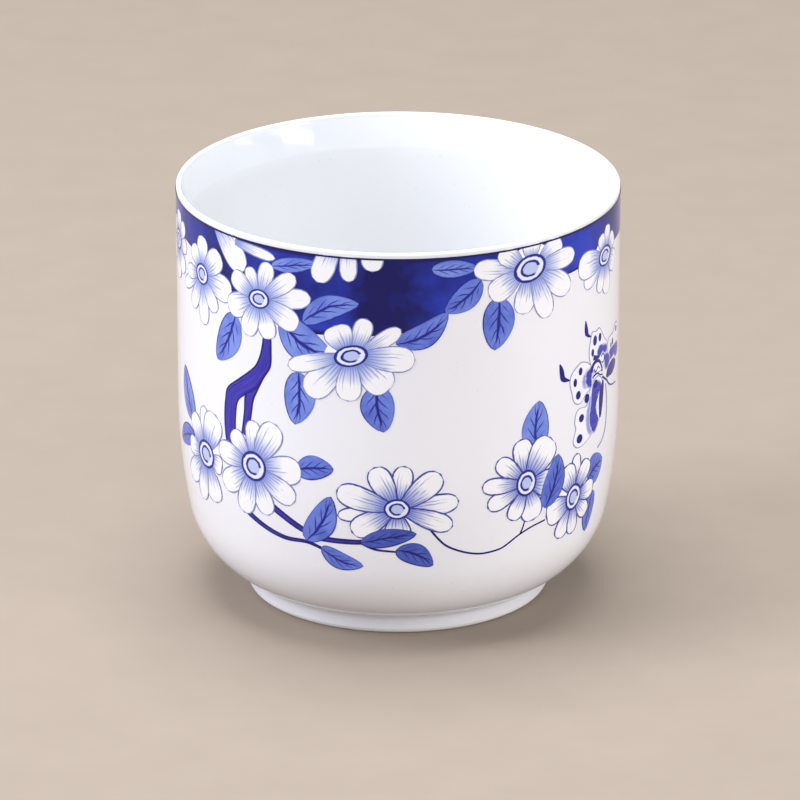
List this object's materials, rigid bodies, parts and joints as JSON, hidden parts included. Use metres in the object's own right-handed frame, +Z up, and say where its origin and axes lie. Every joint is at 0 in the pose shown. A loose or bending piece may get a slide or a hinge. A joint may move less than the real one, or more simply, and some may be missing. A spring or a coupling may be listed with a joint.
{
  "type": "teacup",
  "caption": "Handleless straight-sided porcelain teacup on a low foot ring, with a blue and white print of blossoms, leaves, a tree trunk and a butterfly under a cobalt rim band.",
  "frame": {"origin": "on the table under the middle of the cup, at the centre of the foot ring's contact face", "axes": "+Z up along the cup's axis; the print's main picture faces -Y"},
  "size_m": [0.0702, 0.0702, 0.0673],
  "materials": {
    "porcelain_clay": "fired white porcelain, smooth and matt where the foot is left bare",
    "clear_glaze": "clear gloss glaze over white porcelain",
    "cobalt_print": "deep cobalt transfer print, fired glossy",
    "pale_blue_print": "pale blue hatched transfer print, fired glossy",
    "leaf_blue_print": "mid blue veined transfer print, fired glossy",
    "dark_ink_print": "dark violet-blue transfer print, fired glossy"
  },
  "bodies": {
    "root": {"bowl": "porcelain_clay", "foot_ring": "porcelain_clay", "inside_glaze": "clear_glaze", "outside_glaze": "clear_glaze", "base_glaze": "clear_glaze", "rim_band": "cobalt_print", "upper_blossoms": "pale_blue_print", "lower_blossoms": "pale_blue_print", "blossom_eyes": "dark_ink_print", "upper_leaves": "leaf_blue_print", "lower_leaves": "leaf_blue_print", "tree_branches": "dark_ink_print", "vine": "dark_ink_print", "butterflies": "leaf_blue_print"}
  },
  "joints": []
}
